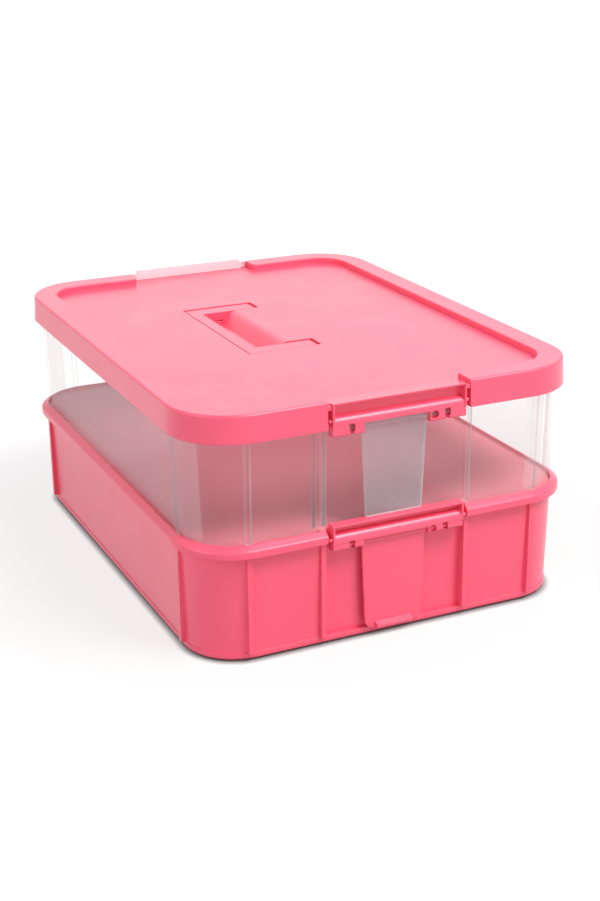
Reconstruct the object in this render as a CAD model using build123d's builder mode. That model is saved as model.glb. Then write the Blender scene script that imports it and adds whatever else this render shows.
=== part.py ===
"""A two-tier craft storage box: pink base and lid, clear upper box, folding handle, swinging latches.

Millimetres. +X runs along the latch faces, -Y is the front, +Z is up.
The origin is at the middle of the underside.
"""
from build123d import *
from dataclasses import dataclass
import math
import os

os.makedirs("parts", exist_ok=True)

# Footprint of the lid
lid_width = 270.0
lid_length = 351.0
corner_radius = 41.5

# Heights above the surface the box stands on
lid_top = 160.0
skirt_height = 17.4
recess_depth = 4.4
base_rim_top = 77.2
base_rim_height = 7.1
base_shoulder_drop = 2.7
foot_lift = 0.9
foot_band_height = 4.7

# Walls
pink_wall = 2.4
clear_wall = 2.0
lid_skirt_wall = 2.6
floor_thickness = 2.4

# How far each face stands in from the lid's footprint
lid_top_inset = 1.0
rim_width = 17.5
base_rim_inset = 0.7
base_rim_overhang = 5.0
base_rim_width = 5.1
base_rim_crest = 1.0
base_wall_draft = 1.5
base_bay_draft = 0.7
clear_wall_draft = 1.5
foot_step = 1.0

# Fits
seat_gap = 0.3
nest_gap = 0.4
rest_gap = 0.15
running_gap = 0.08
flange_gap = 0.8
overcut = 1.0

# Ribs on the walls, near the ends of each side
rib_width = 3.4
end_rib_past_corner = 4.9
side_rib_past_corner = 1.0
foot_band_reach = 0.5
base_rib_inset = 4.1
clear_rib_reach = 1.8

# Seat for the divider inside the base rim
ledge_thickness = 2.3
ledge_past_bay = 0.8
divider_thickness = 2.2
divider_skirt_depth = 5.0
divider_skirt_wall = 2.0

# Rim flange of the clear box
clear_flange_height = 3.6

# Rounded edges
lid_edge_radius = 1.6
recess_edge_radius = 1.0
rim_end_radius = 2.0
base_rim_radius = 1.5
foot_edge_radius = 2.5
lug_edge_radius = 1.4
hook_edge_radius = 0.5

# Notch in the lid rim and base rim, and the latch block that fills it
notch_half = 48.2
block_end_gap = 3.0
end_plate = 1.2
lip_tip = 1.0
web_setback = 7.2
web_wall = 1.8
block_wall_gap = 1.7
crease_setback = 4.2
channel_setback = 5.6
channel_roof_drop = 2.2
bar_round_drop = 2.1
bar_round_setback = 0.9
bar_foot = 0.4
lug_left = 24.4
lug_right = 20.4
front_lip_setback = 0.2
lid_lip_rise = 2.8
lid_bar_drop = 11.7
lid_bar_height = 5.6
lid_pivot_drop = 2.5
lid_lug_cover = 4.2
base_lip_rise = 3.4
base_lip_depth = 10.8
base_bar_drop = 12.4
base_bar_height = 6.8
base_pivot_drop = 1.8
base_lug_cover = 2.2

# Ties between the lid's front block and the ends of its notch
tie_setback = 1.2
tie_depth = 4.3
tie_drop = 1.4
tie_height = 2.6

# Latch pivots
pivot_setback = 3.5
trunnion_radius = 1.5
trunnion_cover = 9.1
window_cover = 3.7
window_width = 3.9
window_neck = 1.9
window_top = 3.0
window_bottom = 2.0
pin_hole_setback = 3.3
pin_hole_radius = 2.6
stub_radius = 1.2
stub_length = 2.0
stub_rise = 3.4
stub_setback = 2.0

# Swinging latch flap
flap_thickness = 2.0
flap_side_gap = 0.4
flap_setback = 4.1
flap_taper = 2.8
upper_flap_corner = 1.0
upper_flap_gap = 0.5
lower_flap_corner = 5.0
lower_flap_gap = 0.5
tab_width = 25.0
tab_reach = 3.8
tab_height = 4.0
tab_bevel = 1.0

# Clear hook over the back edge of the lid
hook_end_setback = 2.6
hook_reach = 4.3
hook_foot = 2.7
hook_tip = 1.4
hook_height = 5.6
hook_back = 3.4
hook_gap = 0.4
hook_arm = 2.0
hook_arm_tail = 1.9

# Folding handle and its recess
handle_front_y = -51.0
handle_length = 117.0
handle_grip_x = -44.2
handle_pivot_x = 3.4
handle_arm_width = 12.0
handle_grip_width = 8.4
handle_thickness = 6.0
handle_grip_gap = 0.8
handle_front_gap = 0.5
handle_back_gap = 3.6
handle_tip_gap = 0.8
handle_floor_gap = 0.6
handle_corner = 1.6
tip_bevel = 3.0
tip_bevel_length = 10.0
pivot_pin_radius = 2.0
pivot_pin_seat = 3.0
pivot_boss = 3.6
pocket_wall = 2.2
well_depth = 8.4
well_edge_x = -10.0
well_slope = 41.0
well_brow_radius = 10.0
well_foot_radius = 3.0

# Heights worked out from the ones above
skirt_bottom = lid_top - skirt_height
panel_top = lid_top - recess_depth
panel_bottom = panel_top - pink_wall
foot_band_top = foot_lift + foot_band_height
floor_top = foot_lift + floor_thickness
base_rim_shoulder = base_rim_top - base_shoulder_drop
base_rim_bottom = base_rim_top - base_rim_height
base_lip_top = base_rim_top + base_lip_rise
ledge_top = base_rim_bottom + ledge_thickness
divider_top = ledge_top + divider_thickness
clear_bottom = divider_top + rest_gap
clear_top = panel_bottom
clear_fin_foot = base_rim_top + seat_gap
clear_fin_head = clear_top - clear_flange_height
clear_bay_fin_head = skirt_bottom - seat_gap
lid_lip_top = panel_top + lid_lip_rise
lid_bar_bottom = panel_top - lid_bar_drop
lid_crease = lid_bar_bottom + lid_bar_height
lid_pivot_z = lid_bar_bottom - lid_pivot_drop
lid_lug_bottom = lid_pivot_z - lid_lug_cover
lid_stub_z = lid_bar_bottom + stub_rise
base_bar_bottom = base_lip_top - base_bar_drop
base_crease = base_bar_bottom + base_bar_height
base_pivot_z = base_bar_bottom - base_pivot_drop
base_lug_bottom = base_pivot_z - base_lug_cover
hook_low = panel_top + hook_gap
hook_top = hook_low + hook_height

# Places along the faces, worked out from the sizes above
half_width = lid_width / 2
half_length = lid_length / 2
bay_half = notch_half + pink_wall + flange_gap
bay_lip_half = bay_half - seat_gap - nest_gap
outer_rib_x = half_width - corner_radius + end_rib_past_corner
side_rib_y = half_length - corner_radius + side_rib_past_corner
block_half = notch_half - block_end_gap
trunnion_reach = block_half - trunnion_cover
window_x = trunnion_reach - window_cover
pin_hole_x = lug_right + pin_hole_setback
pivot_y = half_length - pivot_setback
stub_y = half_length - stub_setback
hook_half = block_half - hook_end_setback
hook_arm_near = block_half + seat_gap
hook_arm_far = hook_arm_near + hook_arm

# Insets worked out from the sizes above
base_wall_inset_high = base_rim_inset + base_rim_overhang
base_wall_inset_low = base_wall_inset_high + base_wall_draft
foot_band_inset = base_wall_inset_low - foot_band_reach
plinth_inset = foot_band_inset + foot_edge_radius + foot_step
rim_lip_inset = base_rim_inset + base_rim_width
bay_inset_high = web_setback + block_wall_gap
ledge_inset = base_lip_depth + seat_gap + ledge_past_bay
divider_inset = rim_lip_inset + seat_gap
divider_skirt_inset = ledge_inset + seat_gap
clear_flange_inset = lid_skirt_wall + flange_gap
clear_wall_inset_low = rim_lip_inset + seat_gap + nest_gap

# Places of the handle, its recess and the finger well
handle_back_y = handle_front_y + handle_length
handle_tip_x = handle_pivot_x + handle_thickness / 2
handle_bottom = panel_top - handle_thickness
handle_pivot_z = panel_top - handle_thickness / 2
pocket_floor = handle_bottom - handle_floor_gap
pocket_left = handle_grip_x - handle_grip_gap
pocket_right = handle_tip_x + handle_tip_gap
pocket_front = handle_front_y - handle_front_gap
pocket_back = handle_back_y + handle_back_gap
well_front = handle_front_y + handle_arm_width
well_back = handle_back_y - handle_arm_width
well_floor = panel_top - well_depth
slope_run = math.sin(math.radians(well_slope))
slope_drop = 1 - math.cos(math.radians(well_slope))
well_brow = (well_edge_x - well_brow_radius * slope_run, panel_top - well_brow_radius * slope_drop)
ramp_height = well_brow[1] - well_floor - well_foot_radius * slope_drop
ramp_foot = (well_brow[0] - ramp_height / math.tan(math.radians(well_slope)), well_brow[1] - ramp_height)
well_foot_x = ramp_foot[0] - well_foot_radius * slope_run


@dataclass
class Slope:
    """A drafted face: how far it stands in from the lid's footprint at two heights."""

    z_low: float
    inset_low: float
    z_high: float
    inset_high: float

    def at(self, z):
        """The inset at one height."""
        share = (z - self.z_low) / (self.z_high - self.z_low)
        return self.inset_low + (self.inset_high - self.inset_low) * share

    def behind(self, depth):
        """The same face, further in."""
        return Slope(self.z_low, self.inset_low + depth, self.z_high, self.inset_high + depth)


base_face = Slope(foot_lift, base_wall_inset_low, base_rim_bottom, base_wall_inset_high)
base_fin = Slope(foot_band_top, base_rib_inset, base_rim_bottom, base_rib_inset)
base_bay = Slope(foot_lift, bay_inset_high + base_bay_draft, base_rim_bottom, bay_inset_high)
rim_slope = Slope(base_rim_shoulder, base_rim_inset, base_rim_top, rim_lip_inset - base_rim_crest)
clear_face = Slope(clear_bottom, clear_wall_inset_low, clear_top, clear_wall_inset_low - clear_wall_draft)
clear_fin = Slope(clear_fin_foot, clear_wall_inset_low - clear_rib_reach, clear_fin_head, clear_flange_inset)
clear_bay = Slope(clear_bottom, base_lip_depth + seat_gap + nest_gap, clear_top, bay_inset_high)
lid_face = Slope(skirt_bottom, 0, lid_top, lid_top_inset)
open_air = Slope(0, -overcut, lid_top, -overcut)
hook_front = Slope(hook_low, hook_reach, hook_top, hook_tip)
hook_rear = Slope(hook_low, hook_reach - hook_foot, hook_top, 0)


def outline(inset):
    """The lid's rounded footprint, drawn in by an inset."""
    RectangleRounded(lid_width - 2 * inset, lid_length - 2 * inset, corner_radius - inset)


def drafted(face, z_low, z_high, mode=Mode.ADD):
    """A solid of the rounded outline, bounded by a drafted face."""
    with BuildSketch(Plane.XY.offset(z_low)) as low:
        outline(face.at(z_low))
    with BuildSketch(Plane.XY.offset(z_high)) as high:
        outline(face.at(z_high))
    loft([low.sketch, high.sketch], ruled=True, mode=mode)


def slab(z_low, z_high, inset, mode=Mode.ADD):
    """A straight-sided slab of the rounded outline."""
    with BuildSketch(Plane.XY.offset(z_low)) as profile:
        outline(inset)
    extrude(profile.sketch, amount=z_high - z_low, mode=mode)


def block_space(x_low, x_high, y_low, y_high, z_low, z_high, mode=Mode.ADD):
    """A plain box between six faces."""
    with BuildSketch(Plane.XY.offset(z_low)) as profile:
        with Locations(((x_low + x_high) / 2, (y_low + y_high) / 2)):
            Rectangle(abs(x_high - x_low), abs(y_high - y_low))
    extrude(profile.sketch, amount=z_high - z_low, mode=mode)


def upright(side, x_low, x_high, z_low, z_high, inner, outer, mode=Mode.ADD):
    """A plate at the front or back between two drafted faces."""
    with BuildSketch(Plane.YZ.offset(x_low)) as profile:
        with BuildLine():
            Polyline(
                (side * (half_length - inner.at(z_low)), z_low),
                (side * (half_length - outer.at(z_low)), z_low),
                (side * (half_length - outer.at(z_high)), z_high),
                (side * (half_length - inner.at(z_high)), z_high),
                close=True,
            )
        make_face()
    extrude(profile.sketch, amount=x_high - x_low, mode=mode)


def side_upright(side, y_low, y_high, z_low, z_high, inner, outer):
    """A plate on one long side between two drafted faces."""
    with BuildSketch(Plane.XZ.offset(-y_high)) as profile:
        with BuildLine():
            Polyline(
                (side * (half_width - inner.at(z_low)), z_low),
                (side * (half_width - outer.at(z_low)), z_low),
                (side * (half_width - outer.at(z_high)), z_high),
                (side * (half_width - inner.at(z_high)), z_high),
                close=True,
            )
        make_face()
    extrude(profile.sketch, amount=y_high - y_low)


def arc_rise(radius):
    """How far the middle of a quarter arc stands from the sharp corner's two faces."""
    return radius * (1 - math.cos(math.radians(45)))


def corner_ribs(z_low, z_high, fin, wall):
    """The ribs on both sides of each rounded corner."""
    for side in (-1, 1):
        for x in (-outer_rib_x, outer_rib_x):
            upright(side, x - rib_width / 2, x + rib_width / 2, z_low, z_high, wall, fin)
        for y in (-side_rib_y, side_rib_y):
            side_upright(side, y - rib_width / 2, y + rib_width / 2, z_low, z_high, wall, fin)


def latch_bay(face, bay, wall, z_low, z_cut, z_high):
    """The part of the front and back walls behind a latch, which stands further in."""
    for side in (-1, 1):
        upright(side, -bay_half, bay_half, z_cut, z_high, bay.behind(wall / 2), open_air, mode=Mode.SUBTRACT)
        upright(side, -bay_half - wall, bay_half + wall, z_low, z_high, bay.behind(wall), bay)
        for x_low in (-bay_half - wall, bay_half):
            upright(side, x_low, x_low + wall, z_low, z_high, bay.behind(wall), face.behind(wall / 2))


def bay_ribs(bay, fin, wall, z_low, z_high):
    """The ribs along both sides of each latch bay."""
    for side in (-1, 1):
        for x_low in (-bay_half, bay_half - rib_width):
            upright(side, x_low, x_low + rib_width, z_low, z_high, bay.behind(wall / 2), fin)


def latch_block(side, lip_top, lip_setback, back_top, crease, bar_bottom, pivot_z, lug_bottom):
    """Lip, channel, rounded bar and two lugs, with the bores for one swinging latch."""
    face = half_length
    lip = face - lip_setback
    back = face - web_setback
    with BuildSketch(Plane.YZ) as profile:
        with BuildLine():
            Polyline(
                (side * (face - crease_setback), crease),
                (side * (face - channel_setback), crease),
                (side * (face - channel_setback), lip_top - channel_roof_drop),
                (side * lip, lip_top - lip_tip),
                (side * lip, lip_top),
                (side * back, back_top),
                (side * back, bar_bottom),
                (side * (face - bar_foot), bar_bottom),
            )
            ThreePointArc(
                (side * (face - bar_foot), bar_bottom),
                (side * (face - bar_round_setback), crease - bar_round_drop),
                (side * (face - crease_setback), crease),
            )
        make_face()
    extrude(profile.sketch, amount=block_half, both=True)
    # Two lugs that run on below the bar
    lug_front = face - bar_foot
    for x_low, x_high in ((-block_half, -lug_left), (lug_right, block_half)):
        with BuildSketch(Plane.YZ.offset(x_low)) as profile:
            with BuildLine():
                Polyline(
                    (side * back, bar_bottom),
                    (side * back, lug_bottom),
                    (side * (lug_front - lug_edge_radius), lug_bottom),
                )
                ThreePointArc(
                    (side * (lug_front - lug_edge_radius), lug_bottom),
                    (side * (lug_front - arc_rise(lug_edge_radius)), lug_bottom + arc_rise(lug_edge_radius)),
                    (side * lug_front, lug_bottom + lug_edge_radius),
                )
                Polyline(
                    (side * lug_front, lug_bottom + lug_edge_radius),
                    (side * lug_front, bar_bottom),
                    (side * back, bar_bottom),
                )
            make_face()
        extrude(profile.sketch, amount=x_high - x_low)
    # End plates close the channel
    for x_low in (-block_half, block_half - end_plate):
        with BuildSketch(Plane.YZ.offset(x_low)) as profile:
            with BuildLine():
                Polyline(
                    (side * back, bar_bottom),
                    (side * back, back_top),
                    (side * lip, lip_top),
                )
                ThreePointArc(
                    (side * lip, lip_top),
                    (side * (face - arc_rise(lip_setback)), lip_top - arc_rise(lip_setback)),
                    (side * face, lip_top - lip_setback),
                )
                Polyline(
                    (side * face, lip_top - lip_setback),
                    (side * face, bar_bottom),
                    (side * back, bar_bottom),
                )
            make_face()
        extrude(profile.sketch, amount=end_plate)
    # Pivot stubs on the block's ends
    for x_low in (-block_half - stub_length, block_half):
        with BuildSketch(Plane.YZ.offset(x_low)) as profile:
            with Locations((side * stub_y, bar_bottom + stub_rise)):
                Circle(stub_radius)
        extrude(profile.sketch, amount=stub_length)
    # Bores for the trunnions, blind at the outer ends
    for x_low, x_high in ((-trunnion_reach - seat_gap, -lug_left), (lug_right, trunnion_reach + seat_gap)):
        with BuildSketch(Plane.YZ.offset(x_low)) as profile:
            with Locations((side * pivot_y, pivot_z)):
                Circle(trunnion_radius + running_gap)
        extrude(profile.sketch, amount=x_high - x_low, mode=Mode.SUBTRACT)
    # Windows over the trunnions, with the flared mouths below them
    for x in (-window_x, window_x):
        with BuildSketch(Plane.XZ.offset(-side * pivot_y)) as profile:
            with BuildLine():
                Polyline(
                    (x - window_width / 2, pivot_z + window_top),
                    (x + window_width / 2, pivot_z + window_top),
                    (x + window_width / 2, pivot_z - window_bottom),
                    (x + window_neck / 2, pivot_z - window_bottom),
                    (x + window_width / 2, lug_bottom - overcut),
                    (x - window_width / 2, lug_bottom - overcut),
                    (x - window_neck / 2, pivot_z - window_bottom),
                    (x - window_width / 2, pivot_z - window_bottom),
                    close=True,
                )
            make_face()
        extrude(profile.sketch, amount=-side * (pivot_setback + overcut), mode=Mode.SUBTRACT)
    with BuildSketch(Plane.XZ.offset(-side * pivot_y)) as profile:
        with Locations((pin_hole_x, pivot_z)):
            Circle(pin_hole_radius)
    extrude(profile.sketch, amount=-side * (pivot_setback + overcut), mode=Mode.SUBTRACT)


def latch_flap(side, pivot_z, low, corner, tab):
    """A thin flap hung from trunnions at its top edge, narrower at its foot."""
    outer = half_length - flap_setback
    x_low = -lug_left + flap_side_gap
    x_high = lug_right - flap_side_gap
    with BuildSketch(Plane.XZ.offset(-side * outer)) as profile:
        with BuildLine():
            Polyline(
                (x_low, pivot_z),
                (x_low + flap_taper, low),
                (x_high - flap_taper, low),
                (x_high, pivot_z),
                close=True,
            )
        make_face()
    extrude(profile.sketch, amount=side * flap_thickness)
    with BuildSketch(Plane.YZ.offset(-trunnion_reach)) as profile:
        with Locations((side * pivot_y, pivot_z)):
            Circle(trunnion_radius)
    extrude(profile.sketch, amount=2 * trunnion_reach)
    bottom_corners = edges().filter_by(Axis.Y).group_by(Axis.Z)[0]
    fillet(bottom_corners, corner)
    if tab:
        middle = (x_low + x_high) / 2
        with BuildSketch(Plane.YZ.offset(middle - tab_width / 2)) as profile:
            with BuildLine():
                Polyline(
                    (side * (outer - flap_thickness / 2), low),
                    (side * (outer + tab_reach - tab_bevel), low),
                    (side * (outer + tab_reach), low + tab_bevel),
                    (side * (outer + tab_reach), low + tab_height / 2),
                    (side * (outer - flap_thickness / 2), low + tab_height),
                    close=True,
                )
            make_face()
        extrude(profile.sketch, amount=tab_width)


with BuildPart() as lower_box:
    drafted(base_face, foot_lift, base_rim_bottom)
    slab(foot_lift, foot_band_top, foot_band_inset)
    fillet(lower_box.edges().group_by(Axis.Z)[0], foot_edge_radius)
    slab(0, foot_lift, plinth_inset)
    corner_ribs(foot_band_top, base_rim_bottom, base_fin, base_face.behind(pink_wall))
    slab(base_rim_bottom, base_rim_shoulder, base_rim_inset)
    drafted(rim_slope, base_rim_shoulder, base_rim_top)
    shoulder_edges = lower_box.edges().filter_by_position(
        Axis.Z, base_rim_shoulder - rest_gap, base_rim_shoulder + rest_gap)
    fillet(shoulder_edges, base_rim_radius)
    drafted(base_face.behind(pink_wall), floor_top, base_rim_bottom, mode=Mode.SUBTRACT)
    slab(base_rim_bottom, ledge_top, ledge_inset, mode=Mode.SUBTRACT)
    slab(ledge_top, base_rim_top, rim_lip_inset, mode=Mode.SUBTRACT)
    latch_bay(base_face, base_bay, pink_wall, foot_lift, foot_band_top, base_rim_bottom)
    bay_ribs(base_bay, base_fin, pink_wall, foot_band_top, base_rim_bottom)
    for side in (-1, 1):
        inner = side * (half_length - base_lip_depth)
        near = side * (half_length - web_setback)
        far = side * half_length
        block_space(-notch_half, notch_half, near, far, base_rim_bottom, base_rim_top, mode=Mode.SUBTRACT)
        block_space(-bay_lip_half, bay_lip_half, inner, near, base_rim_bottom, base_rim_top)
        latch_block(side, base_lip_top, front_lip_setback, base_lip_top, base_crease,
                    base_bar_bottom, base_pivot_z, base_lug_bottom)

lower_box.part.label = "lower_box"
export_step(lower_box.part, "parts/lower_box.step")

with BuildPart() as divider_lid:
    slab(ledge_top, divider_top, divider_inset)
    slab(ledge_top - divider_skirt_depth, ledge_top, divider_skirt_inset)
    slab(ledge_top - divider_skirt_depth, ledge_top, divider_skirt_inset + divider_skirt_wall,
         mode=Mode.SUBTRACT)
    for side in (-1, 1):
        inner = side * (half_length - base_lip_depth - seat_gap)
        block_space(-bay_lip_half - seat_gap, bay_lip_half + seat_gap, inner, side * half_length,
                    ledge_top, divider_top, mode=Mode.SUBTRACT)

divider_lid.part.label = "divider_lid"
export_step(divider_lid.part, "parts/divider_lid.step")

with BuildPart() as upper_box:
    drafted(clear_face, clear_bottom, clear_top)
    corner_ribs(clear_fin_foot, clear_fin_head, clear_fin, clear_face.behind(clear_wall))
    slab(clear_fin_head, clear_top, clear_flange_inset)
    drafted(clear_face.behind(clear_wall), clear_bottom + clear_wall, clear_top, mode=Mode.SUBTRACT)
    latch_bay(clear_face, clear_bay, clear_wall, clear_bottom, clear_bottom, clear_top)
    bay_ribs(clear_bay, clear_fin, clear_wall, clear_fin_foot, clear_bay_fin_head)

upper_box.part.label = "upper_box"
export_step(upper_box.part, "parts/upper_box.step")

with BuildPart() as lid:
    drafted(lid_face, skirt_bottom, lid_top)
    fillet(lid.edges().group_by(Axis.Z)[-1], lid_edge_radius)
    slab(panel_top, lid_top, rim_width, mode=Mode.SUBTRACT)
    rim_top = lid.faces().filter_by(Plane.XY).sort_by(Axis.Z)[-1]
    fillet(rim_top.inner_wires().edges(), recess_edge_radius)
    slab(skirt_bottom, panel_bottom, lid_skirt_wall, mode=Mode.SUBTRACT)
    # The raised rim is hollow below, and closed at its cut ends
    with BuildSketch(Plane.XY.offset(panel_bottom)):
        outline(lid_skirt_wall)
        with BuildSketch(mode=Mode.PRIVATE) as inner_edge:
            outline(rim_width - pink_wall)
        add(inner_edge.sketch, mode=Mode.SUBTRACT)
        Rectangle(2 * (notch_half + pink_wall + rim_end_radius), lid_length, mode=Mode.SUBTRACT)
    extrude(amount=recess_depth, mode=Mode.SUBTRACT)
    ramp = Slope(half_length - rim_width, panel_top, half_length - front_lip_setback, lid_lip_top)
    ramp_end = half_length - channel_setback
    for side, edge_y in ((-1, -ramp_end), (1, half_length - crease_setback)):
        back_y = side * (half_length - web_setback)
        # A web and returns that close the skirt's cut ends
        block_space(-notch_half - pink_wall, notch_half + pink_wall, back_y,
                    back_y + side * web_wall, skirt_bottom, panel_bottom)
        for x_low in (-notch_half - pink_wall, notch_half):
            block_space(x_low, x_low + pink_wall, back_y, side * (half_length - lid_skirt_wall / 2),
                        skirt_bottom, panel_bottom)
        block_space(-notch_half, notch_half, edge_y, side * (half_length + overcut),
                    skirt_bottom, lid_top, mode=Mode.SUBTRACT)
        # The notch, rounded where the rim's inner face meets its cut ends
        inner_y = side * (half_length - rim_width)
        with BuildSketch(Plane.XY.offset(panel_top)):
            with Locations((0, (inner_y + edge_y) / 2)):
                Rectangle(2 * notch_half, abs(edge_y - inner_y))
            with Locations((0, inner_y)):
                Rectangle(2 * (notch_half + rim_end_radius), 2 * rim_end_radius)
            for x in (-notch_half - rim_end_radius, notch_half + rim_end_radius):
                with Locations((x, inner_y + side * rim_end_radius)):
                    Circle(rim_end_radius, mode=Mode.SUBTRACT)
        extrude(amount=recess_depth, mode=Mode.SUBTRACT)
    # The panel ramps up to the front block's lip
    with BuildSketch(Plane.YZ):
        with BuildLine():
            Polyline(
                (-ramp.z_low, panel_bottom),
                (-ramp.z_low, panel_top),
                (-ramp_end, ramp.at(ramp_end)),
                (-ramp_end, panel_bottom),
                close=True,
            )
        make_face()
    extrude(amount=notch_half, both=True)
    latch_block(-1, lid_lip_top, front_lip_setback, ramp.at(half_length - web_setback), lid_crease,
                lid_bar_bottom, lid_pivot_z, lid_lug_bottom)
    latch_block(1, panel_top, crease_setback, panel_top, lid_crease,
                lid_bar_bottom, lid_pivot_z, lid_lug_bottom)
    # Ties from the front block to the ends of its notch
    tie_front = -(half_length - tie_setback)
    for x_low, x_high in ((-notch_half, -block_half), (block_half, notch_half)):
        block_space(x_low, x_high, tie_front, tie_front + tie_depth,
                    lid_lip_top - tie_drop - tie_height, lid_lip_top - tie_drop)
    # A tray below the panel under each arm of the handle, and a tub between them for the fingers
    arm_seats = ((pocket_front, well_front + handle_back_gap), (well_back - handle_front_gap, pocket_back))
    for y_low, y_high in arm_seats:
        block_space(pocket_left - pocket_wall, pocket_right + pocket_wall, y_low - pivot_boss,
                    y_high + pivot_boss, pocket_floor - pocket_wall, panel_bottom)
    with BuildSketch(Plane.XZ.offset(-(well_back + pocket_wall))):
        with BuildLine():
            Polyline(
                (pocket_left - pocket_wall, panel_bottom),
                (pocket_left - pocket_wall, well_floor - pocket_wall),
                (well_foot_x, well_floor - pocket_wall),
                (well_edge_x, panel_bottom),
                close=True,
            )
        make_face()
    extrude(amount=well_back - well_front + 2 * pocket_wall)
    for y_low, y_high in arm_seats:
        block_space(pocket_left, pocket_right, y_low, y_high, pocket_floor, panel_top, mode=Mode.SUBTRACT)
    with BuildSketch(Plane.XZ.offset(-well_back)):
        with BuildLine():
            Polyline(
                (well_edge_x, panel_top),
                (well_edge_x, lid_top),
                (pocket_left, lid_top),
                (pocket_left, well_floor),
                (well_foot_x, well_floor),
            )
            TangentArc((well_foot_x, well_floor), ramp_foot, tangent=(1, 0))
            Line(ramp_foot, well_brow)
            TangentArc((well_edge_x, panel_top), well_brow, tangent=(-1, 0))
        make_face()
    extrude(amount=well_back - well_front, mode=Mode.SUBTRACT)
    # Bores for the handle's pivot pins
    for y_high in (pocket_front, pocket_back + pivot_pin_seat):
        with BuildSketch(Plane.XZ.offset(-y_high)):
            with Locations((handle_pivot_x, handle_pivot_z)):
                Circle(pivot_pin_radius + running_gap)
        extrude(amount=pivot_pin_seat, mode=Mode.SUBTRACT)

lid.part.label = "lid"
export_step(lid.part, "parts/lid.step")

with BuildPart() as handle:
    with BuildSketch(Plane.XZ.offset(-handle_back_y)):
        with BuildLine():
            Polyline(
                (handle_pivot_x, panel_top),
                (handle_grip_x, panel_top),
                (handle_grip_x, handle_bottom),
                (handle_pivot_x, handle_bottom),
            )
            ThreePointArc(
                (handle_pivot_x, handle_bottom),
                (handle_tip_x, handle_pivot_z),
                (handle_pivot_x, panel_top),
            )
        make_face()
    extrude(amount=handle_length)
    block_space(handle_grip_x + handle_grip_width, handle_tip_x + overcut, well_front, well_back,
                handle_bottom, panel_top, mode=Mode.SUBTRACT)
    grip_corners = handle.edges().filter_by(Axis.Z).group_by(Axis.X)[0]
    fillet(grip_corners, handle_corner)
    # Each arm's tip is cut on a slant towards the back
    for arm_back in (well_front, handle_back_y):
        with BuildSketch(Plane.XY.offset(handle_bottom)):
            with BuildLine():
                Polyline(
                    (handle_tip_x - tip_bevel, arm_back),
                    (handle_tip_x, arm_back - tip_bevel_length),
                    (handle_tip_x + overcut, arm_back - tip_bevel_length),
                    (handle_tip_x + overcut, arm_back),
                    close=True,
                )
            make_face()
        extrude(amount=handle_thickness, mode=Mode.SUBTRACT)
    # Pivot pins, rooted inside the arms
    pins = (
        (well_front - tip_bevel_length, pocket_front - pivot_pin_seat),
        (pocket_back + pivot_pin_seat, handle_back_y - tip_bevel_length),
    )
    for y_high, y_low in pins:
        with BuildSketch(Plane.XZ.offset(-y_high)):
            with Locations((handle_pivot_x, handle_pivot_z)):
                Circle(pivot_pin_radius)
        extrude(amount=y_high - y_low)

handle.part.label = "handle"
export_step(handle.part, "parts/handle.step")

upper_flap = (lid_pivot_z, base_lip_top + upper_flap_gap, upper_flap_corner, False)
lower_flap = (base_pivot_z, foot_band_top + lower_flap_gap, lower_flap_corner, True)
flaps = (
    ("front_upper_latch", -1, upper_flap),
    ("rear_upper_latch", 1, upper_flap),
    ("front_lower_latch", -1, lower_flap),
    ("rear_lower_latch", 1, lower_flap),
)
for name, side, shape in flaps:
    with BuildPart() as flap:
        latch_flap(side, *shape)
    flap.part.label = name
    export_step(flap.part, f"parts/{name}.step")

with BuildPart() as rear_hook:
    arm_inner = half_length - crease_setback + seat_gap
    upright(1, -hook_half, hook_half, hook_low, hook_top, hook_front, hook_rear)
    fillet(rear_hook.edges().filter_by(Axis.X).group_by(Axis.Z)[-1], hook_edge_radius)
    upright(1, -hook_arm_far, hook_arm_far, hook_low, hook_low + hook_back, hook_front, hook_rear)
    for x_low in (-hook_arm_far, hook_arm_near):
        with BuildSketch(Plane.YZ.offset(x_low)):
            with BuildLine():
                Polyline(
                    (arm_inner, lid_stub_z),
                    (arm_inner, hook_low + hook_back),
                    (half_length, hook_low + hook_back),
                    (half_length, lid_stub_z),
                )
                ThreePointArc(
                    (half_length, lid_stub_z),
                    ((arm_inner + half_length) / 2, lid_stub_z - hook_arm_tail),
                    (arm_inner, lid_stub_z),
                )
            make_face()
            with Locations((stub_y, lid_stub_z)):
                Circle(stub_radius + running_gap, mode=Mode.SUBTRACT)
        extrude(amount=hook_arm)

rear_hook.part.label = "rear_hook"
export_step(rear_hook.part, "parts/rear_hook.step")
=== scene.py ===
"""Dresses the craft storage box in moulded pink, clear and frosted plastics, on a pale studio floor."""
import math
from typing import NamedTuple
import bpy
from mathutils import Matrix, Vector


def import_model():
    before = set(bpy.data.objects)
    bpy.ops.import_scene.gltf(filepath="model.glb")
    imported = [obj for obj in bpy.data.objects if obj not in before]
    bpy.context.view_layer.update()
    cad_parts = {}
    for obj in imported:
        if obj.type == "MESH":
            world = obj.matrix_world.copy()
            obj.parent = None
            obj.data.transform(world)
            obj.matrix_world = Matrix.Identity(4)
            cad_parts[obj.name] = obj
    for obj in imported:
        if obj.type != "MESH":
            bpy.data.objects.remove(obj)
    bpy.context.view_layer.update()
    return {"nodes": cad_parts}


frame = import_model()

MM = 0.001


class Lamp(NamedTuple):
    """A square soft lamp: where it stands, how high up the box's axis it aims, its size and its power."""
    at: tuple
    aim_height: float
    size: float
    watts: float
    mirrored: bool = True


class Skin(NamedTuple):
    """How a plastic's surface takes light: its least and most roughness, and how strong its grain is."""
    rough_low: float
    rough_high: float
    grain: float


class Veil(NamedTuple):
    """How much a see-through wall hides face on, and how much more along its edges and seen at a slant."""
    face_on: float
    along_edges: float
    at_slant: float


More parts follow.
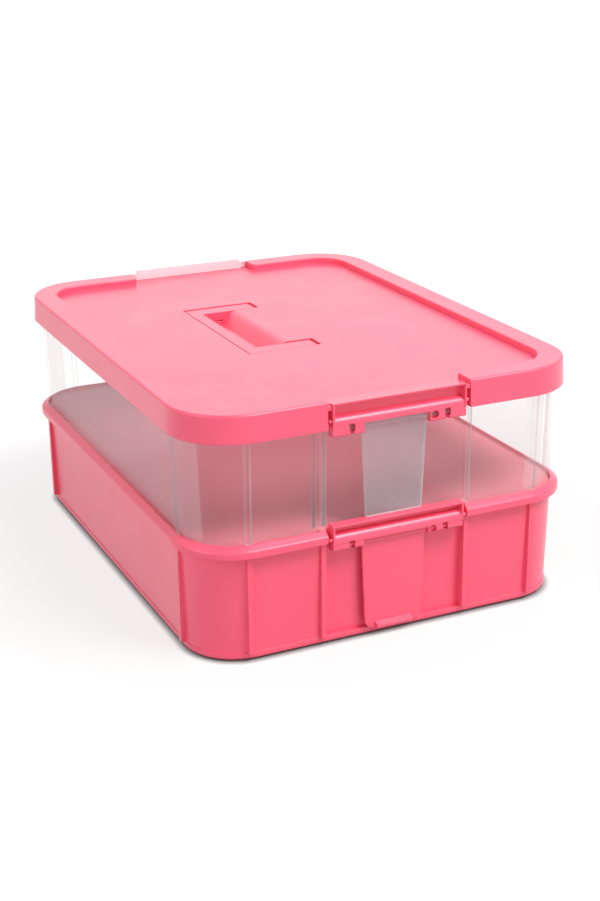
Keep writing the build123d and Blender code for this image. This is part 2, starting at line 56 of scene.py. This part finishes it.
# Camera, fitted to the photograph's 600 x 901 frame, with its angles in degrees
FRAME_HEIGHT_PX = 901.0
FOCAL_PX = 1554.71
SENSOR_MM = 36.0
CAMERA_AT = Vector((-0.42254, -0.94611, 0.44821))
CAMERA_YAW = 24.78
CAMERA_PITCH = 20.34
CAMERA_ROLL = -0.67
CAMERA_REACH = 50.0

# Colours, as linear red, green and blue
WHITE = (1.0, 1.0, 1.0)
PINK = (0.93, 0.086, 0.168)
PINK_LIGHT = (0.95, 0.098, 0.184)
# The clear and frosted plastics' faint pink tint is a painted reflection of the pink parts around them
CLEAR_WITH_PAINTED_REFLECTION = (0.96, 0.87, 0.88)
FROSTED_WITH_PAINTED_REFLECTION = (0.95, 0.88, 0.91)
# The rear strip is clear plastic; its pink is a painted reflection of the pink lid around it
STRIP_WITH_PAINTED_REFLECTION = (0.93, 0.42, 0.48)
FLOOR = (0.50, 0.49, 0.49)
FLOOR_SEEN = (0.19, 0.185, 0.185)

# Surfaces
OUTER_SKIN = Skin(rough_low=0.36, rough_high=0.41, grain=0.25)
INNER_SKIN = Skin(rough_low=0.44, rough_high=0.50, grain=0.25)
CLEAR_SKIN = Skin(rough_low=0.05, rough_high=0.12, grain=0.05)
FROSTED_SKIN = Skin(rough_low=0.34, rough_high=0.42, grain=0.20)
STRIP_SKIN = Skin(rough_low=0.20, rough_high=0.28, grain=0.10)
OUTER_COAT = 0.45
INNER_COAT = 0.0
COAT_ROUGHNESS = 0.30
PLASTIC_IOR = 1.49

# See-through walls, and how far the softened normal bends from a face before an edge counts as full
# Each veil's rise along edges and at a slant is painted reflection and painted refracted light, shown as a
# lit pale film
CLEAR_VEIL = Veil(face_on=0.02, along_edges=0.50, at_slant=0.20)
FROSTED_VEIL = Veil(face_on=0.12, along_edges=0.55, at_slant=0.40)
STRIP_VEIL = Veil(face_on=0.80, along_edges=0.20, at_slant=0.10)
EDGE_BEND = 0.85

# Surface detail, with each noise in cycles per metre and the part of its range that is used
CLOUD_SCALE = 14.0
CLOUD_DETAIL = 3.0
PATCH_SCALE = 32.0
PATCH_DETAIL = 4.0
GRAIN_SCALE = 350.0
GRAIN_DETAIL = 3.0
GRAIN_DEPTH = 0.1 * MM
NOISE_MIDDLE = (0.3, 0.7)
EDGE_RADIUS = 0.6 * MM
EDGE_SAMPLES = 4

# Lamps, of which the last stands in for the light that the lid lets through
KEY_LAMP = Lamp(at=(0.7, -1.1, 1.9), aim_height=0.08, size=0.9, watts=43.0)
SIDE_LAMP = Lamp(at=(-1.8, -0.4, 0.9), aim_height=0.08, size=1.0, watts=7.0)
BACK_LAMP = Lamp(at=(1.2, 2.6, 1.35), aim_height=0.16, size=2.2, watts=6.0)
INSIDE_LAMP = Lamp(at=(0.0, 0.0, 0.136), aim_height=0.0, size=0.21, watts=0.09, mirrored=False)

# World, as a fill at the horizon and overhead, and as it is seen
WORLD_FILL_LOW = 0.96
WORLD_FILL_HIGH = 0.256
WORLD_SEEN = 1.0

# Floor, whose glow rises with the distance from the box's middle and fades where the box stands on it, as
# a painted contact shadow
FLOOR_REACH = 12.0
FLOOR_GLOW = 0.77
BACKDROP_GLOW = 1.0
GLOW_RISES_FROM = 0.22
GLOW_RISES_TO = 0.42
PAINTED_CONTACT_SHADOW_REACH = 5.0 * MM
PAINTED_CONTACT_SHADOW_POWER = 2.0
PAINTED_CONTACT_SHADOW_SAMPLES = 8


def camera():
    """The photograph's camera, turned by its yaw, pitch and roll."""
    yaw = math.radians(CAMERA_YAW)
    pitch = math.radians(CAMERA_PITCH)
    roll = math.radians(CAMERA_ROLL)
    ahead = Vector((math.sin(yaw) * math.cos(pitch), math.cos(yaw) * math.cos(pitch), -math.sin(pitch)))
    right = Vector((math.cos(yaw), -math.sin(yaw), 0.0))
    up = right.cross(ahead)
    right_rolled = right * math.cos(roll) + up * math.sin(roll)
    up_rolled = up * math.cos(roll) - right * math.sin(roll)
    turn = Matrix((right_rolled, up_rolled, -ahead)).transposed()
    data = bpy.data.cameras.new("photo_camera")
    data.sensor_width = SENSOR_MM
    data.lens = FOCAL_PX * SENSOR_MM / FRAME_HEIGHT_PX
    data.clip_end = CAMERA_REACH
    shooter = bpy.data.objects.new("photo_camera", data)
    shooter.matrix_world = Matrix.Translation(CAMERA_AT) @ turn.to_4x4()
    bpy.context.scene.collection.objects.link(shooter)
    bpy.context.scene.camera = shooter


def softbox(name, lamp):
    """Puts up a lamp, which the camera doesn't see."""
    data = bpy.data.lights.new(name, "AREA")
    data.size = lamp.size
    data.energy = lamp.watts
    aim = Vector((0.0, 0.0, lamp.aim_height)) - Vector(lamp.at)
    box = bpy.data.objects.new(name, data)
    box.location = lamp.at
    box.rotation_euler = aim.to_track_quat("-Z", "Y").to_euler()
    box.visible_camera = False
    box.visible_glossy = lamp.mirrored
    bpy.context.scene.collection.objects.link(box)


def feed(tree, socket, value):
    """Sets a node's input to a plain number, or links another node's output to it."""
    if isinstance(value, float):
        socket.default_value = value
    else:
        tree.links.new(value, socket)


def worked_out(tree, operation, *values):
    """The result of a maths node, from plain numbers and other nodes' outputs."""
    step = tree.nodes.new("ShaderNodeMath")
    step.operation = operation
    for socket, value in zip(step.inputs, values):
        feed(tree, socket, value)
    return step.outputs[0]


def mapped(tree, value, source=(0.0, 1.0), target=(0.0, 1.0), curve="LINEAR"):
    """A value mapped from one range onto another."""
    step = tree.nodes.new("ShaderNodeMapRange")
    step.interpolation_type = curve
    feed(tree, step.inputs["From Min"], source[0])
    feed(tree, step.inputs["From Max"], source[1])
    feed(tree, step.inputs["To Min"], target[0])
    feed(tree, step.inputs["To Max"], target[1])
    tree.links.new(value, step.inputs["Value"])
    return step.outputs[0]


def blended(tree, factor, first, second):
    """A colour between two, by a factor."""
    mix = tree.nodes.new("ShaderNodeMix")
    mix.data_type = "RGBA"
    mix.inputs["A"].default_value = (*first, 1.0)
    mix.inputs["B"].default_value = (*second, 1.0)
    tree.links.new(factor, mix.inputs["Factor"])
    return mix.outputs["Result"]


def noise(tree, place, scale, detail):
    """A noise in the given coordinates, with its scale in cycles per metre."""
    texture = tree.nodes.new("ShaderNodeTexNoise")
    texture.inputs["Scale"].default_value = scale
    texture.inputs["Detail"].default_value = detail
    tree.links.new(place, texture.inputs["Vector"])
    return texture.outputs["Fac"]


def coordinates(tree, kind):
    """The place of a point, in the kind of coordinates named."""
    return tree.nodes.new("ShaderNodeTexCoord").outputs[kind]


def seen_ray(tree):
    """One for a ray from the camera, a gloss or a clear wall, and zero for one that lights the box."""
    path = tree.nodes.new("ShaderNodeLightPath").outputs
    straight_or_mirrored = worked_out(tree, "MAXIMUM", path["Is Camera Ray"], path["Is Glossy Ray"])
    return worked_out(tree, "MAXIMUM", straight_or_mirrored, path["Is Transmission Ray"])


def world():
    """White where it is seen, and elsewhere a fill that fades upwards."""
    sky = bpy.data.worlds.new("studio")
    bpy.context.scene.world = sky
    sky.use_nodes = True
    tree = sky.node_tree
    tree.nodes.clear()
    direction = tree.nodes.new("ShaderNodeSeparateXYZ")
    tree.links.new(coordinates(tree, "Generated"), direction.inputs[0])
    fill = mapped(tree, direction.outputs["Z"], target=(WORLD_FILL_LOW, WORLD_FILL_HIGH))
    light = tree.nodes.new("ShaderNodeBackground")
    light.inputs["Color"].default_value = (*WHITE, 1.0)
    tree.links.new(mapped(tree, seen_ray(tree), target=(fill, WORLD_SEEN)), light.inputs["Strength"])
    out = tree.nodes.new("ShaderNodeOutputWorld")
    tree.links.new(light.outputs[0], out.inputs["Surface"])


def new_material(name):
    """A material and its node tree."""
    matter = bpy.data.materials.new(name)
    matter.use_nodes = True
    return matter, matter.node_tree


def floor_glow(tree, seen):
    """The glow that shows the floor as near white: it rises away from the box and fades under it, as a
    painted contact shadow.
    """
    distance = tree.nodes.new("ShaderNodeVectorMath")
    distance.operation = "LENGTH"
    tree.links.new(coordinates(tree, "Object"), distance.inputs[0])
    rise = (GLOW_RISES_FROM, GLOW_RISES_TO)
    level = mapped(tree, distance.outputs["Value"], rise, (FLOOR_GLOW, BACKDROP_GLOW), "SMOOTHSTEP")
    # Painted contact shadow: the glow darkens where the box's foot hides the floor from nearby rays
    painted_contact_shadow = tree.nodes.new("ShaderNodeAmbientOcclusion")
    painted_contact_shadow.samples = PAINTED_CONTACT_SHADOW_SAMPLES
    painted_contact_shadow.inputs["Distance"].default_value = PAINTED_CONTACT_SHADOW_REACH
    openness = worked_out(tree, "POWER", painted_contact_shadow.outputs["AO"], PAINTED_CONTACT_SHADOW_POWER)
    shown = worked_out(tree, "MULTIPLY", level, seen)
    return worked_out(tree, "MULTIPLY", shown, openness)


def floor_material():
    """Matt and pale: a middle grey to the light that falls on it, and near white where it is seen."""
    matter, tree = new_material("floor")
    tree.nodes.clear()
    seen = seen_ray(tree)
    diffuse = tree.nodes.new("ShaderNodeBsdfDiffuse")
    tree.links.new(blended(tree, seen, FLOOR, FLOOR_SEEN), diffuse.inputs["Color"])
    glow = tree.nodes.new("ShaderNodeEmission")
    tree.links.new(floor_glow(tree, seen), glow.inputs["Strength"])
    both = tree.nodes.new("ShaderNodeAddShader")
    tree.links.new(diffuse.outputs[0], both.inputs[0])
    tree.links.new(glow.outputs[0], both.inputs[1])
    out = tree.nodes.new("ShaderNodeOutputMaterial")
    tree.links.new(both.outputs[0], out.inputs["Surface"])
    return matter


def floor():
    """A wide floor under the box, which is also the backdrop."""
    mesh = bpy.data.meshes.new("floor")
    corners = [(x * FLOOR_REACH, y * FLOOR_REACH, 0.0) for x, y in ((-1, -1), (1, -1), (1, 1), (-1, 1))]
    mesh.from_pydata(corners, [], [(0, 1, 2, 3)])
    mesh.materials.append(floor_material())
    ground = bpy.data.objects.new("floor", mesh)
    bpy.context.scene.collection.objects.link(ground)


def surface_detail(tree, shader, place, skin):
    """Uneven gloss, a fine moulded grain and softened edges. It returns the softened normal."""
    patches = noise(tree, place, PATCH_SCALE, PATCH_DETAIL)
    roughness = mapped(tree, patches, NOISE_MIDDLE, (skin.rough_low, skin.rough_high))
    tree.links.new(roughness, shader.inputs["Roughness"])
    soft_edge = tree.nodes.new("ShaderNodeBevel")
    soft_edge.samples = EDGE_SAMPLES
    soft_edge.inputs["Radius"].default_value = EDGE_RADIUS
    grain = tree.nodes.new("ShaderNodeBump")
    grain.inputs["Strength"].default_value = skin.grain
    grain.inputs["Distance"].default_value = GRAIN_DEPTH
    tree.links.new(noise(tree, place, GRAIN_SCALE, GRAIN_DETAIL), grain.inputs["Height"])
    tree.links.new(soft_edge.outputs[0], grain.inputs["Normal"])
    tree.links.new(grain.outputs[0], shader.inputs["Normal"])
    return soft_edge.outputs[0]


def moulded_plastic(name, skin, coat):
    """Opaque pink moulded plastic, with faint clouds of a lighter pink and a thin coat of gloss."""
    matter, tree = new_material(name)
    shader = tree.nodes["Principled BSDF"]
    shader.inputs["IOR"].default_value = PLASTIC_IOR
    shader.inputs["Coat Weight"].default_value = coat
    shader.inputs["Coat Roughness"].default_value = COAT_ROUGHNESS
    place = coordinates(tree, "Object")
    clouds = mapped(tree, noise(tree, place, CLOUD_SCALE, CLOUD_DETAIL), NOISE_MIDDLE)
    tree.links.new(blended(tree, clouds, PINK, PINK_LIGHT), shader.inputs["Base Color"])
    surface_detail(tree, shader, place, skin)
    return matter


def edge_nearness(tree, softened):
    """Zero on a flat face, rising to one where the softened normal bends round an edge."""
    facing = tree.nodes.new("ShaderNodeVectorMath")
    facing.operation = "DOT_PRODUCT"
    tree.links.new(softened, facing.inputs[0])
    tree.links.new(tree.nodes.new("ShaderNodeNewGeometry").outputs["Normal"], facing.inputs[1])
    return mapped(tree, facing.outputs["Value"], (1.0, EDGE_BEND))


def see_through_plastic(name, colour, skin, veil):
    """See-through moulded plastic, which hides more along its edges and where it is seen at a slant: there
    its lit pale film is painted reflection and painted refracted light.
    """
    matter, tree = new_material(name)
    shader = tree.nodes["Principled BSDF"]
    shader.inputs["IOR"].default_value = PLASTIC_IOR
    shader.inputs["Base Color"].default_value = (*colour, 1.0)
    edges = edge_nearness(tree, surface_detail(tree, shader, coordinates(tree, "Object"), skin))
    slant = tree.nodes.new("ShaderNodeFresnel")
    slant.inputs["IOR"].default_value = PLASTIC_IOR
    # Along edges and at a slant the lit film shows as painted reflection and painted refracted light
    hidden = worked_out(tree, "MULTIPLY_ADD", edges, veil.along_edges, veil.face_on)
    hidden = worked_out(tree, "MULTIPLY_ADD", slant.outputs[0], veil.at_slant, hidden)
    tree.links.new(hidden, shader.inputs["Alpha"])
    return matter


def dress(matter, *names):
    """Gives CAD nodes one material."""
    for name in names:
        data = frame["nodes"][name].data
        data.materials.clear()
        data.materials.append(matter)


camera()
world()
softbox("key", KEY_LAMP)
softbox("side", SIDE_LAMP)
softbox("back", BACK_LAMP)
softbox("inside", INSIDE_LAMP)
floor()

pink = moulded_plastic("pink_plastic", OUTER_SKIN, OUTER_COAT)
pink_inside = moulded_plastic("pink_inner_plastic", INNER_SKIN, INNER_COAT)
clear = see_through_plastic("clear_plastic", CLEAR_WITH_PAINTED_REFLECTION, CLEAR_SKIN, CLEAR_VEIL)
frosted = see_through_plastic("frosted_plastic", FROSTED_WITH_PAINTED_REFLECTION, FROSTED_SKIN, FROSTED_VEIL)
strip = see_through_plastic("strip_plastic", STRIP_WITH_PAINTED_REFLECTION, STRIP_SKIN, STRIP_VEIL)

dress(pink, "lower_box", "lid", "handle", "front_lower_latch", "rear_lower_latch")
dress(pink_inside, "divider_lid")
dress(clear, "upper_box")
dress(frosted, "front_upper_latch", "rear_upper_latch")
dress(strip, "rear_hook")

bpy.context.scene.view_settings.view_transform = "Standard"
